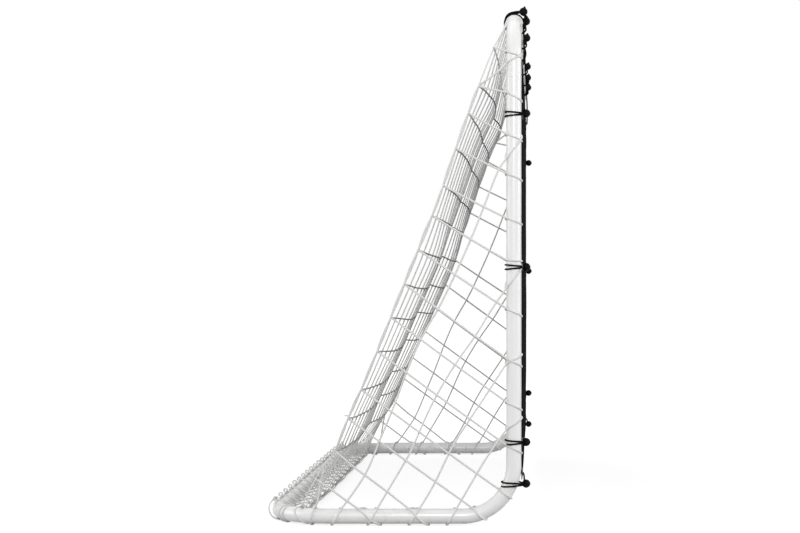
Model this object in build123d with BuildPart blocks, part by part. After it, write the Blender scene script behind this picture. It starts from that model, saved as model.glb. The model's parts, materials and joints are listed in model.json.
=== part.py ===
"""Pitch-back rebounder: a knock-down tube goal with a net, and a rebound sheet stretched over its mouth.

Millimetres. X runs across the mouth (left is -X), the mouth faces -Y, +Z is up.
The origin is on the ground below the middle of the whole object.
"""

import os
from math import acos, asin, atan2, cos, degrees, hypot, sin, sqrt

from build123d import *

os.makedirs("parts", exist_ok=True)

# Driving dimensions: the frame
width = 2400.0  # over the outsides of the two posts
height = 1700.0  # ground to the top of the crossbar
frame_depth = 850.0  # front of the posts to the back of the rear bar
tube_r = 25.0
tube_wall = 1.5
top_bend_r = 150.0  # centreline radii of the three kinds of bend
front_bend_r = 170.0
rear_bend_r = 200.0
bend_tail = 50.0  # straight tube left on a corner beyond its bend
post_foot_joint_z = 268.0  # the joint above the front bend
spigot_length = 60.0  # reduced end that slides into the next tube
spigot_gap = 0.2  # clearance on radius round a spigot
joint_gap = 0.3  # hairline between two tubes

# Driving dimensions: the snap buttons
button_r = 4.8
button_hole_r = 5.1
button_setback = 30.0  # joint line to the button
button_stands_out = 5.5
button_flange_r = 7.0
button_flange_thickness = 1.0
spring_width = 10.0
spring_strip = 0.8

# Driving dimensions: the net
mesh = 116.0
net_cord = 4.0
net_thickness = 3.0
net_clear = 0.4  # air between the net and a tube
net_fold_behind_posts = 587.0  # where the back net kicks down to its hem
net_fold_z = 243.0
net_hem_behind_posts = 720.0  # the hem lies on the ground, forward of the rear bar
net_hem_z = 5.0
lace_r = 2.0
lace_turns = 16  # turns of the lacing between the hem and the rear bar
lace_clear = 1.0  # air between the lacing and the hem
lace_end_angle = -45.0  # where a turn ends behind the bar, short of the ground

# Driving dimensions: the rebound sheet and what ties it
sheet_width = 2348.0
sheet_bottom_z = 146.0
sheet_top_z = 1543.0
sheet_thickness = 1.0
sheet_clear = 0.4
hem_width = 80.0
hem_thickness = 1.2
eyelet_bore_r = 7.5
eyelet_barrel = 1.3
eyelet_flange_r = 13.0
eyelet_flange_thickness = 0.8
eyelet_inside_post = 39.0  # post axis to the eyelet, towards the middle
ball_r = 14.0
tie_cord_r = 2.5
tie_strand_offset = 4.5  # half the distance between a loop's two strands
post_tie_z = (270.0, 848.0, 1353.0)
corner_tie_z = 131.5
top_tie_pitch = 405.0
top_tie_count = 6
corner_top_tie_x = 1047.0
top_cord_r = 3.0
top_cord_in_front = 31.0  # crossbar axis to the top cord
top_cord_z = 1660.0

# Worked-out places
axis_x = width / 2 - tube_r
crossbar_z = height - tube_r
ground_z = tube_r
bore_r = tube_r - tube_wall
spigot_r = bore_r - spigot_gap
spigot_bore_r = spigot_r - tube_wall
sheet_back = tube_r + sheet_clear  # these three are distances in front of the post axis
sheet_front = sheet_back + sheet_thickness
hem_front = sheet_front + hem_thickness
ball_clear = 0.2
ball_in_front = hem_front + eyelet_flange_thickness + sqrt(ball_r**2 - eyelet_bore_r**2) + ball_clear
rear_bar_behind = frame_depth - 2 * tube_r

net_ring = tube_r + net_clear
lower_net_slope = atan2(net_fold_z - net_hem_z, net_hem_behind_posts - net_fold_behind_posts)
lower_net_length = hypot(net_hem_behind_posts - net_fold_behind_posts, net_fold_z - net_hem_z)
fold_to_crossbar = hypot(net_fold_behind_posts, crossbar_z - net_fold_z)
upper_net_slope = atan2(crossbar_z - net_fold_z, net_fold_behind_posts) + asin(net_ring / fold_to_crossbar)
upper_net_length = sqrt(fold_to_crossbar**2 - net_ring**2) + tube_r / 2

front_reach = ball_in_front + ball_r
lace_ring = net_ring + lace_r
rear_reach = rear_bar_behind + lace_ring + lace_r
post_y = (front_reach - rear_reach) / 2
rear_bar_y = post_y + rear_bar_behind

side_names = {-1: "left", 1: "right"}


def finish(builder, name):
    """Label a finished piece and write it out."""
    builder.part.label = name
    export_step(builder.part, f"parts/{name}.step")


# --- Tubes -------------------------------------------------------------------------------------
# A joint is kept as (point on the tube axis at the button, direction into the spigot's own tube,
# direction that the button points).
joints = {}


def add_joint(name, line_point, into_spigot_tube, button_direction):
    """Note a joint whose hairline is at line_point; the button sits in the spigot beyond it."""
    inward = Vector(*into_spigot_tube)
    joints[name] = (Vector(*line_point) - inward * button_setback, inward, Vector(*button_direction))


def drill(names):
    """Cut the button holes of the named joints through one wall of the tube being built."""
    for name in names:
        point, _, direction = joints[name]
        with Locations(Plane(origin=point, z_dir=direction)):
            Cylinder(
                button_hole_r, 2 * tube_r, align=(Align.CENTER, Align.CENTER, Align.MIN), mode=Mode.SUBTRACT
            )


def spigot(plane):
    """Add a reduced end to the tube being built, along the plane's normal from the tube's end."""
    neck = tube_wall * 4
    with BuildSketch(plane.offset(-neck)) as neck_ring:
        Circle(bore_r + tube_wall / 2)
        Circle(spigot_bore_r, mode=Mode.SUBTRACT)
    extrude(neck_ring.sketch, amount=neck)
    with BuildSketch(plane) as ring:
        Circle(spigot_r)
        Circle(spigot_bore_r, mode=Mode.SUBTRACT)
    extrude(ring.sketch, amount=spigot_length)


def straight_tube(name, start, end, joint_names, has_spigot=False):
    """A straight tube from start to end, with a spigot beyond its end where it is the inner one."""
    run = Vector(*end) - Vector(*start)
    with BuildPart() as tube:
        with BuildSketch(Plane(origin=start, z_dir=run)):
            Circle(tube_r)
            Circle(bore_r, mode=Mode.SUBTRACT)
        extrude(amount=run.length)
        if has_spigot:
            spigot(Plane(origin=end, z_dir=run))
        drill(joint_names)
    finish(tube, name)


def corner_tube(name, corner, first, second, bend_r, first_tail, second_tail, joint_names):
    """A bent tube: two runs that would meet at corner, joined by one bend, with a spigot on each end."""
    meet, one, two = Vector(*corner), Vector(*first), Vector(*second)
    ends = (meet + one * (bend_r + first_tail), meet + two * (bend_r + second_tail))
    with BuildPart() as tube:
        with BuildLine() as path:
            FilletPolyline(ends[0], meet, ends[1], radius=bend_r)
        with BuildSketch(Plane(origin=ends[0], z_dir=-one)):
            Circle(tube_r)
            Circle(bore_r, mode=Mode.SUBTRACT)
        sweep(path=path.line)
        spigot(Plane(origin=ends[0], z_dir=one))
        spigot(Plane(origin=ends[1], z_dir=two))
        drill(joint_names)
    finish(tube, name)


crossbar_end_x = axis_x - top_bend_r - bend_tail
post_top_z = crossbar_z - top_bend_r - bend_tail
rail_front_y = post_y + front_bend_r + bend_tail
rail_rear_y = rear_bar_y - rear_bend_r - bend_tail
rear_bar_end_x = axis_x - rear_bend_r - bend_tail

add_joint("crossbar_middle", (0, post_y, crossbar_z), (-1, 0, 0), (0, 0, -1))
add_joint("rear_bar_middle", (0, rear_bar_y, ground_z), (-1, 0, 0), (0, -1, 0))
for side, side_name in side_names.items():
    x = side * axis_x
    add_joint(f"crossbar_{side_name}", (side * crossbar_end_x, post_y, crossbar_z), (side, 0, 0), (0, 0, -1))
    add_joint(f"post_top_{side_name}", (x, post_y, post_top_z), (0, 0, 1), (-side, 0, 0))
    add_joint(f"post_foot_{side_name}", (x, post_y, post_foot_joint_z), (0, 0, -1), (-side, 0, 0))
    add_joint(f"rail_front_{side_name}", (x, rail_front_y, ground_z), (0, -1, 0), (-side, 0, 0))
    add_joint(f"rail_rear_{side_name}", (x, rail_rear_y, ground_z), (0, 1, 0), (-side, 0, 0))
    add_joint(
        f"rear_bar_{side_name}", (side * rear_bar_end_x, rear_bar_y, ground_z), (side, 0, 0), (0, -1, 0)
    )

for side, side_name in side_names.items():
    x = side * axis_x
    up, down, back, front = (0, 0, 1), (0, 0, -1), (0, 1, 0), (0, -1, 0)
    inward = (-side, 0, 0)
    middle_gap = 0 if side < 0 else joint_gap
    straight_tube(
        f"crossbar_{side_name}",
        (side * (crossbar_end_x - joint_gap), post_y, crossbar_z),
        (side * middle_gap, post_y, crossbar_z),
        (f"crossbar_{side_name}", "crossbar_middle"),
        has_spigot=side < 0,
    )
    corner_tube(
        f"top_corner_{side_name}", (x, post_y, crossbar_z), inward, down, top_bend_r, bend_tail, bend_tail,
        (f"crossbar_{side_name}", f"post_top_{side_name}"),
    )
    straight_tube(
        f"post_{side_name}",
        (x, post_y, post_foot_joint_z + joint_gap),
        (x, post_y, post_top_z - joint_gap),
        (f"post_foot_{side_name}", f"post_top_{side_name}"),
    )
    corner_tube(
        f"base_corner_{side_name}", (x, post_y, ground_z), up, back, front_bend_r,
        post_foot_joint_z - ground_z - front_bend_r, bend_tail,
        (f"post_foot_{side_name}", f"rail_front_{side_name}"),
    )
    straight_tube(
        f"side_rail_{side_name}",
        (x, rail_front_y + joint_gap, ground_z),
        (x, rail_rear_y - joint_gap, ground_z),
        (f"rail_front_{side_name}", f"rail_rear_{side_name}"),
    )
    corner_tube(
        f"rear_corner_{side_name}", (x, rear_bar_y, ground_z), front, inward, rear_bend_r, bend_tail,
        bend_tail, (f"rail_rear_{side_name}", f"rear_bar_{side_name}"),
    )
    straight_tube(
        f"rear_bar_{side_name}",
        (side * (rear_bar_end_x - joint_gap), rear_bar_y, ground_z),
        (side * middle_gap, rear_bar_y, ground_z),
        (f"rear_bar_{side_name}", "rear_bar_middle"),
        has_spigot=side < 0,
    )

# --- Snap buttons and their springs ------------------------------------------------------------
flange_top = sqrt(spigot_bore_r**2 - button_flange_r**2) - 0.3  # distances from the tube axis
flange_bottom = flange_top - button_flange_thickness
button_top = tube_r + button_stands_out
dome_r = 2.4

for name, (point, inward, direction) in joints.items():
    with BuildPart() as button:
        with BuildSketch(Plane(origin=point, x_dir=inward, z_dir=inward.cross(direction))):
            with BuildLine():
                Polyline(
                    (0, flange_bottom),
                    (button_flange_r, flange_bottom),
                    (button_flange_r, flange_top),
                    (button_r, flange_top),
                    (button_r, button_top),
                    (0, button_top),
                    close=True,
                )
            profile = make_face()
            rim = profile.vertices().sort_by_distance((button_r, button_top))[0]
            fillet(rim, dome_r)
        revolve(axis=Axis(point, direction))
    finish(button, f"snap_button_{name}")

with BuildPart() as springs:
    leg_reach = 45.0
    for point, inward, direction in joints.values():
        with BuildSketch(Plane(origin=point, x_dir=inward, z_dir=inward.cross(direction))):
            with BuildLine():
                FilletPolyline(
                    (-button_flange_r, flange_bottom - 0.1 - spring_strip / 2),
                    (button_flange_r, flange_bottom - 0.1 - spring_strip / 2),
                    (leg_reach, -spigot_bore_r + 1.5),
                    (-button_flange_r, -spigot_bore_r + 1.5),
                    radius=2.0,
                )
            trace(line_width=spring_strip)
        extrude(amount=spring_width / 2, both=True)
finish(springs, "button_springs")

# --- Net ---------------------------------------------------------------------------------------
least_gap_area = 400.0  # slivers of mesh along a slanted edge are left closed
net_border = 6.0
back_net_width = width - 2 * net_clear
fold_y = post_y + net_fold_behind_posts


def cut_gaps(edge, strands):
    """Cut every gap between the strands out of the net panel being drawn, inside its border."""
    with BuildSketch(mode=Mode.PRIVATE) as gaps:
        add(edge)
        for place, angle, length in strands:
            with Locations(Location((place[0], place[1], 0), (0, 0, angle))):
                Rectangle(length, net_cord, mode=Mode.SUBTRACT)
    add([gap for gap in gaps.sketch_local.faces() if gap.area > least_gap_area], mode=Mode.SUBTRACT)


def back_net(name, run, length, corner_r):
    """A flat panel of the back net, from the fold along the direction run, its far corners rounded."""
    outward = Vector(0, abs(run.Z), abs(run.Y))
    start = Vector(0, fold_y, net_fold_z) + run * (net_thickness / 2)
    plane = Plane(origin=start, x_dir=(1, 0, 0), z_dir=outward)
    towards = 1 if plane.y_dir.dot(run) > 0 else -1
    rows, columns = round(length / mesh), round(back_net_width / mesh)
    strands = [((0, towards * row * length / rows), 0, back_net_width) for row in range(1, rows)]
    for column in range(1, columns):
        place = (column * back_net_width / columns - back_net_width / 2, towards * length / 2)
        strands.append((place, 90, length))
    with BuildPart() as panel:
        with BuildSketch(plane):
            with Locations((0, towards * length / 2)):
                sheet = Rectangle(back_net_width, length)
            far_side = sheet.vertices().group_by(Axis.Y)[-1 if towards > 0 else 0]
            outline = fillet(far_side, corner_r)
            cut_gaps(offset(outline, amount=-net_border, mode=Mode.PRIVATE), strands)
        extrude(amount=net_thickness)
    finish(panel, name)


back_net(
    "back_net_upper", Vector(0, -cos(upper_net_slope), sin(upper_net_slope)), upper_net_length, top_bend_r
)
back_net(
    "back_net_lower", Vector(0, cos(lower_net_slope), -sin(lower_net_slope)), lower_net_length, rear_bend_r
)

side_net_front = 50.0  # post axis to the side net's front edge, clear of the ties round the post
side_net_bottom_z = 5.0
side_net_length = 2 * (crossbar_z - net_fold_z)
back_run = Vector(-cos(upper_net_slope), sin(upper_net_slope))  # up the back slope, in the side plane
down_run = Vector(sin(upper_net_slope), cos(upper_net_slope))
fold = Vector(fold_y, net_fold_z)
net_top = fold + back_run * ((net_fold_behind_posts - side_net_front) / cos(upper_net_slope))
front_bend_centre = Vector(post_y + front_bend_r, ground_z + front_bend_r)

strands = []
for count in range(-6, 14):
    along = fold - down_run * (count * mesh)
    strands.append(((along.X, along.Y), degrees(atan2(back_run.Y, back_run.X)), side_net_length))
    along = fold + back_run * (count * mesh)
    strands.append(((along.X, along.Y), degrees(atan2(down_run.Y, down_run.X)), side_net_length))

for side, side_name in side_names.items():
    inner_x = side * (width / 2 + net_clear) - (net_thickness if side < 0 else 0)
    with BuildPart() as side_net:
        with BuildSketch(Plane(origin=(inner_x, 0, 0), x_dir=(0, 1, 0), z_dir=(1, 0, 0))):
            with BuildLine():
                Polyline(
                    (net_top.X, front_bend_centre.Y),
                    (net_top.X, net_top.Y),
                    (fold.X, fold.Y),
                    (post_y + net_hem_behind_posts, side_net_bottom_z),
                    (front_bend_centre.X, side_net_bottom_z),
                )
                RadiusArc(
                    (front_bend_centre.X, side_net_bottom_z),
                    (net_top.X, front_bend_centre.Y),
                    front_bend_r,
                )
            outline = make_face()
            cut_gaps(offset(outline, amount=-net_border, mode=Mode.PRIVATE), strands)
        extrude(amount=net_thickness)
    finish(side_net, f"side_net_{side_name}")

# Each turn of the lacing rises from the hem, and goes over the rear bar and down behind it
hem_back = net_hem_behind_posts - rear_bar_behind + net_thickness / sin(lower_net_slope) + lace_clear
hem_above = net_hem_z + lace_r + lace_clear - ground_z  # both from the rear bar's axis
touch_angle = 360 + degrees(atan2(hem_above, hem_back) - acos(lace_ring / hypot(hem_back, hem_above)))
column_pitch = back_net_width / round(back_net_width / mesh)

with BuildPart() as lacing:
    for turn in range(lace_turns):
        x = (turn - (lace_turns - 1) / 2) * column_pitch
        with BuildLine(Plane(origin=(x, rear_bar_y, ground_z), x_dir=(0, 1, 0), z_dir=(1, 0, 0))) as route:
            over = CenterArc((0, 0), lace_ring, touch_angle, lace_end_angle - touch_angle)
            Line((hem_back, hem_above), over @ 0)
        with BuildSketch(Plane(origin=route.line @ 0, z_dir=route.line % 0)):
            Circle(lace_r)
        sweep(path=route.line)
finish(lacing, "net_lacing")

# --- Rebound sheet -----------------------------------------------------------------------------
corner_eyelet_bottom_z = sheet_bottom_z + 22.0
corner_eyelet_top_z = sheet_top_z - 22.0
eyelet_x = axis_x - eyelet_inside_post
eyelet_hole_r = eyelet_bore_r + eyelet_barrel
eyelet_places = [
    (side * eyelet_x, z)
    for side in side_names
    for z in (corner_eyelet_bottom_z, *post_tie_z, corner_eyelet_top_z)
]
sheet_height = sheet_top_z - sheet_bottom_z
sheet_middle_z = (sheet_top_z + sheet_bottom_z) / 2


def mouth_plane(in_front):
    """The upright plane a distance in front of the posts, facing forwards."""
    return Plane(origin=(0, post_y - in_front, 0), x_dir=(1, 0, 0), z_dir=(0, -1, 0))


with BuildPart() as rebound_sheet:
    with BuildSketch(mouth_plane(sheet_back)):
        with Locations((0, sheet_middle_z)):
            Rectangle(sheet_width, sheet_height)
        with Locations(*eyelet_places):
            Circle(eyelet_hole_r, mode=Mode.SUBTRACT)
    extrude(amount=sheet_thickness)
finish(rebound_sheet, "rebound_sheet")

for side, side_name in side_names.items():
    with BuildPart() as side_hem:
        with BuildSketch(mouth_plane(sheet_front)):
            with Locations((side * (sheet_width - hem_width) / 2, sheet_middle_z)):
                Rectangle(hem_width, sheet_height)
            with Locations(*[place for place in eyelet_places if place[0] * side > 0]):
                Circle(eyelet_hole_r, mode=Mode.SUBTRACT)
        extrude(amount=hem_thickness)
    finish(side_hem, f"side_hem_{side_name}")

narrow_hem = 40.0
for name, z in (
    ("top_hem", sheet_top_z - narrow_hem / 2),
    ("bottom_hem", sheet_bottom_z + narrow_hem / 2),
):
    with BuildPart() as hem:
        with BuildSketch(mouth_plane(sheet_front)):
            with Locations((0, z)):
                Rectangle(sheet_width - 2 * hem_width, narrow_hem)
        extrude(amount=hem_thickness)
    finish(hem, name)

with BuildPart() as eyelets:
    for place in eyelet_places:
        for in_front, thickness, outer_r in (
            (sheet_back - eyelet_flange_thickness, eyelet_flange_thickness, eyelet_flange_r),
            (sheet_back, hem_front - sheet_back, eyelet_hole_r),
            (hem_front, eyelet_flange_thickness, eyelet_flange_r),
        ):
            with BuildSketch(mouth_plane(in_front)):
                with Locations(place):
                    Circle(outer_r)
                    Circle(eyelet_bore_r, mode=Mode.SUBTRACT)
            extrude(amount=thickness)
finish(eyelets, "eyelets")

knot_r = 5.5
knot_behind = sheet_back - eyelet_flange_thickness - knot_r - 0.5

with BuildPart() as top_cord:
    with BuildLine() as route:
        FilletPolyline(
            (-eyelet_x, post_y - knot_behind, corner_eyelet_top_z),
            (-eyelet_x, post_y - top_cord_in_front - 3, corner_eyelet_top_z),
            (-eyelet_x, post_y - top_cord_in_front, top_cord_z),
            (eyelet_x, post_y - top_cord_in_front, top_cord_z),
            (eyelet_x, post_y - top_cord_in_front - 3, corner_eyelet_top_z),
            (eyelet_x, post_y - knot_behind, corner_eyelet_top_z),
            radius=(6, 20, 20, 6),
        )
    with BuildSketch(Plane(origin=route.line @ 0, z_dir=route.line % 0)):
        Circle(top_cord_r)
    sweep(path=route.line)
    with Locations(route.line @ 0, route.line @ 1):
        Sphere(knot_r)
finish(top_cord, "top_cord")

# --- Ball ties ---------------------------------------------------------------------------------


def tie_cord(points, radii, ball, closed=False):
    """One strand of a tie, swept along a filleted path and cut back where it enters its ball."""
    with BuildLine() as route:
        FilletPolyline(*points, radius=radii, close=closed)
    with BuildPart(mode=Mode.PRIVATE) as cord:
        with BuildSketch(Plane(origin=route.line @ 0, z_dir=route.line % 0)) as section:
            Circle(tie_cord_r)
        sweep(section.sketch, path=route.line)
        with Locations(ball):
            Sphere(ball_r + ball_clear, mode=Mode.SUBTRACT)
    return cord.part


def place_balls(name, balls):
    """Write one node that holds the separate balls of one side."""
    with BuildPart() as group:
        with Locations(*balls):
            Sphere(ball_r)
    finish(group, name)


def place_cords(name, cords):
    """Write one node that holds the separate cords of one side."""
    with BuildPart() as group:
        for cord in cords:
            add(cord)
    finish(group, name)


# A post tie goes out through its eyelet, round the back of the post and over the sheet's edge
wrap = tube_r + 0.6 + tie_cord_r
strand_front = hem_front + eyelet_flange_thickness + 0.4 + tie_cord_r
post_route = (
    (eyelet_inside_post, -sheet_back),
    (wrap + 5, wrap + 3),
    (-wrap, wrap + 3),
    (-wrap, -strand_front),
    (eyelet_inside_post - ball_r / 2, -strand_front),
)
for side, side_name in side_names.items():
    balls, cords = [], []
    for z in (corner_tie_z, *post_tie_z):
        ball = Vector(side * eyelet_x, post_y - ball_in_front, z)
        balls.append(ball)
        lean = 0.0
        if z < ground_z + front_bend_r:  # the corner tie passes round the start of the bend
            drop = ground_z + front_bend_r - z
            lean = front_bend_r - sqrt(front_bend_r**2 - drop**2) + 3.0
        for strand in (-tie_strand_offset, tie_strand_offset):
            points = [
                (side * (axis_x - across), post_y + behind + (lean if behind > 0 else 0), z + strand)
                for across, behind in post_route
            ]
            cords.append(tie_cord(points, (24, 26, 8), ball))
    link = [
        (side * eyelet_x, post_y - ball_in_front, corner_tie_z),
        (side * eyelet_x, post_y - strand_front - 2, corner_eyelet_bottom_z),
        (side * eyelet_x, post_y - knot_behind, corner_eyelet_bottom_z),
    ]
    knot = tie_cord(link, 5, balls[0]) + Location(link[-1]) * Sphere(knot_r)
    place_balls(f"tie_balls_{side_name}", balls)
    place_cords(f"tie_cords_{side_name}", [*cords, knot])

# A crossbar tie goes over the tube, and comes forward below the top cord
top_ball_in_front = tube_r + ball_r + 0.3
wrap_behind = 34.0  # round the net's top edge as well as the tube
top_route = ((-34, 6), (-30, 31), (wrap_behind, 31), (wrap_behind, -30), (-38, -27), (-39, -8))
top_radii = (20, 27, 27, 7)
high_ball = (-10.0, 43.5)  # one ball has turned up on top of the crossbar
high_route = ((-38, -27), (-38, 4), (-22, 31), (wrap_behind, 31), (wrap_behind, -30))
high_radii = (7, 18, 20, 27, 27)
corner_ball = (-35.0, 43.0)  # the ties at the corners stand off the tube
corner_route = ((-38, -31), (-38, 4), (-28, 37), (wrap_behind, 37), (wrap_behind, -34))
corner_radii = (7, 18, 20, 27, 27)


def crossbar_tie(x, route, radii, ball, closed):
    """The ball and the two strands of a tie on the crossbar, from places round the tube's axis."""
    ball_place = Vector(x, post_y + ball[0], crossbar_z + ball[1])
    strands = []
    for strand in (-tie_strand_offset, tie_strand_offset):
        points = [(x + strand, post_y + behind, crossbar_z + above) for behind, above in route]
        strands.append(tie_cord(points, radii, ball_place, closed))
    return ball_place, strands


balls, cords = [], []
for count in range(top_tie_count):
    x = (count - (top_tie_count - 1) / 2) * top_tie_pitch
    if count == 2:
        ball, strands = crossbar_tie(x, high_route, high_radii, high_ball, True)
    else:
        ball, strands = crossbar_tie(x, top_route, top_radii, (-top_ball_in_front, 0), False)
    balls.append(ball)
    cords += strands
for side in side_names:
    ball, strands = crossbar_tie(side * corner_top_tie_x, corner_route, corner_radii, corner_ball, True)
    balls.append(ball)
    cords += strands
place_balls("tie_balls_top", balls)
place_cords("tie_cords_top", cords)
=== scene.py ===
"""Looks for the pitch-back rebounder: net, sheet, hems, eyelets, ties and finishes round the CAD frame.

Metres, in the CAD's own frame: X across the mouth, which faces -Y, +Z up.
"""

import json
import random
from math import asin, atan2, cos, exp, hypot, pi, radians, sin, sqrt

import bmesh
import bpy
import numpy as np
from mathutils import Matrix, Vector


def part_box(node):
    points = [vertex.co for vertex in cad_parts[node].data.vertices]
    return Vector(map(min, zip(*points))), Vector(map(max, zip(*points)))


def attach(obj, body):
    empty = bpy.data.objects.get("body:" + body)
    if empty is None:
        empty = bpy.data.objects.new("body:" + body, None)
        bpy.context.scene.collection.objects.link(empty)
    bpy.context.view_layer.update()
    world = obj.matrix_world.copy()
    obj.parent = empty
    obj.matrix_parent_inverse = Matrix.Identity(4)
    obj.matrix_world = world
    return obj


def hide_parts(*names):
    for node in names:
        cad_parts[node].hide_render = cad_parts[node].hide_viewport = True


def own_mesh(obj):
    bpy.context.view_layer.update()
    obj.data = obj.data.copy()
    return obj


bl_info = {
    "name": "Pitch-Back Rebounder",
    "version": (1, 0, 0),
    "blender": (4, 5, 0),
    "location": "3D View > Sidebar > Rebounder",
    "description": "Net, rebound sheet, ties and finishes for a pitch-back rebounder frame",
    "category": "Add Mesh",
}

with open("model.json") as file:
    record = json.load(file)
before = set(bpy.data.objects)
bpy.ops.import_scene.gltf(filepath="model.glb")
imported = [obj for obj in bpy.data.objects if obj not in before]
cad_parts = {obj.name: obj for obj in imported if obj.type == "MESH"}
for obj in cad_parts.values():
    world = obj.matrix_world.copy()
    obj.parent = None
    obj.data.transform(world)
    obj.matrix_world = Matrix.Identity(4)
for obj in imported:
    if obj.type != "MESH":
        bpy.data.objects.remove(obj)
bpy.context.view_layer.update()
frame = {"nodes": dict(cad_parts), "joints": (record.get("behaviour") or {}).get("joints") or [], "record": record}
nodes = frame["nodes"]


def box_middle(name, axis):
    """The middle of a CAD piece's box on one axis: 0, 1 or 2."""
    low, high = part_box(name)
    return (low[axis] + high[axis]) / 2


# Places taken from the CAD frame
post_low, post_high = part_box("post_left")
TUBE_R = (post_high.x - post_low.x) / 2
POST_X, POST_Y = -box_middle("post_left", 0), box_middle("post_left", 1)
CROSSBAR_Z = box_middle("crossbar_left", 2)
REAR_Y, RAIL_Z = box_middle("rear_bar_left", 1), box_middle("rear_bar_left", 2)
SHEET_LOW, SHEET_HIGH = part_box("rebound_sheet")
FRONT_BEND, REAR_BEND, TOP_BEND = 0.170, 0.200, 0.150  # middle radii of the tube's bends
BEND_X = POST_X - REAR_BEND  # centres of the rear bends
BEND_BEHIND = REAR_Y - POST_Y - REAR_BEND
BODY = "goal"
SIDES = {"left": -1, "right": 1}
BACK, UP = Vector((0, 1, 0)), Vector((0, 0, 1))
FACING = Matrix.Rotation(radians(90), 4, "X")  # turns Z to face out of the mouth
EYELET_INSIDE = 0.039  # from a post's middle
EYELET_X = POST_X - EYELET_INSIDE
NEAR_ZERO, SAME_PLACE = 1e-9, 1e-6


# --- Settings -----------------------------------------------------------------
def length(name, description, default, **limits):
    """A setting in metres."""
    return bpy.props.FloatProperty(
        name=name, description=description, default=default, unit="LENGTH", subtype="DISTANCE", **limits
    )


def tint(name, description, default):
    """A colour setting."""
    return bpy.props.FloatVectorProperty(
        name=name, description=description, default=default, subtype="COLOR", min=0, max=1
    )


def amount(name, description, default, **limits):
    """A plain number."""
    return bpy.props.FloatProperty(name=name, description=description, default=default, **limits)


class RebounderFrameSettings(bpy.types.PropertyGroup):
    """The painted tube frame."""

    paint: tint("Paint", "Colour of the powder coat", (0.83, 0.83, 0.825))
    gloss_roughness: amount("Roughness", "Roughness of the powder coat", 0.32, min=0, max=1, subtype="FACTOR")


class RebounderNetSettings(bpy.types.PropertyGroup):
    """The cord net behind the frame and at its sides."""

    cord_diameter: length("Cord", "Diameter of the net's cord", 0.0057, min=0.001, max=0.01)
    columns: bpy.props.IntProperty(
        name="Columns", description="Meshes across the back", default=20, min=4, max=60,
    )
    slack: amount("Slack", "How much each row of the back net hangs in and down", 1.0, min=0, max=2)
    belly: length("Belly", "How far the net below the fold stands out to the back", 0.016)
    wander: length("Wander", "How far knots stray from their places", 0.0013)
    colour: tint("Cord Colour", "Colour of the net's cord", (0.80, 0.80, 0.79))


class RebounderSheetSettings(bpy.types.PropertyGroup):
    """The rebound sheet with its hems and eyelets."""

    forward: length("Forward", "How far the sheet stands in front of its flat place", 0.0004)
    colour: tint("Sheet Colour", "Colour of the sheet's knitted mesh", (0.012, 0.012, 0.013))
    hem_width: length("Side Hem", "Width of the webbing at both sides", 0.080)
    narrow_hem: length("Narrow Hem", "Width of the webbing along the top and bottom", 0.040)
    stitch: length("Stitch", "Length of one stitch", 0.009)


class RebounderTieSettings(bpy.types.PropertyGroup):
    """The elastic ties with their balls."""

    ball_diameter: length("Ball", "Diameter of a tie's ball", 0.028)
    cord_diameter: length("Elastic", "Diameter of the elastic cord", 0.0056)
    top_cord_diameter: length("Top Cord", "Diameter of the cord above the sheet", 0.006)


class RebounderStageSettings(bpy.types.PropertyGroup):
    """Floor, lamps and camera."""

    camera_distance: length("Camera Distance", "Near posts to the camera", 5.81)
    camera_height: length("Camera Height", "Ground to the camera", 0.808)
    key_power: amount("Key", "Power of the lamp beside the camera", 168)
    top_power: amount("Top", "Power of the lamp overhead", 35)
    side_power: amount("Sides", "Power of each lamp beside the goal", 100)
    ambient: amount("Ambient", "Light from all round", 0.30)


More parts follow.
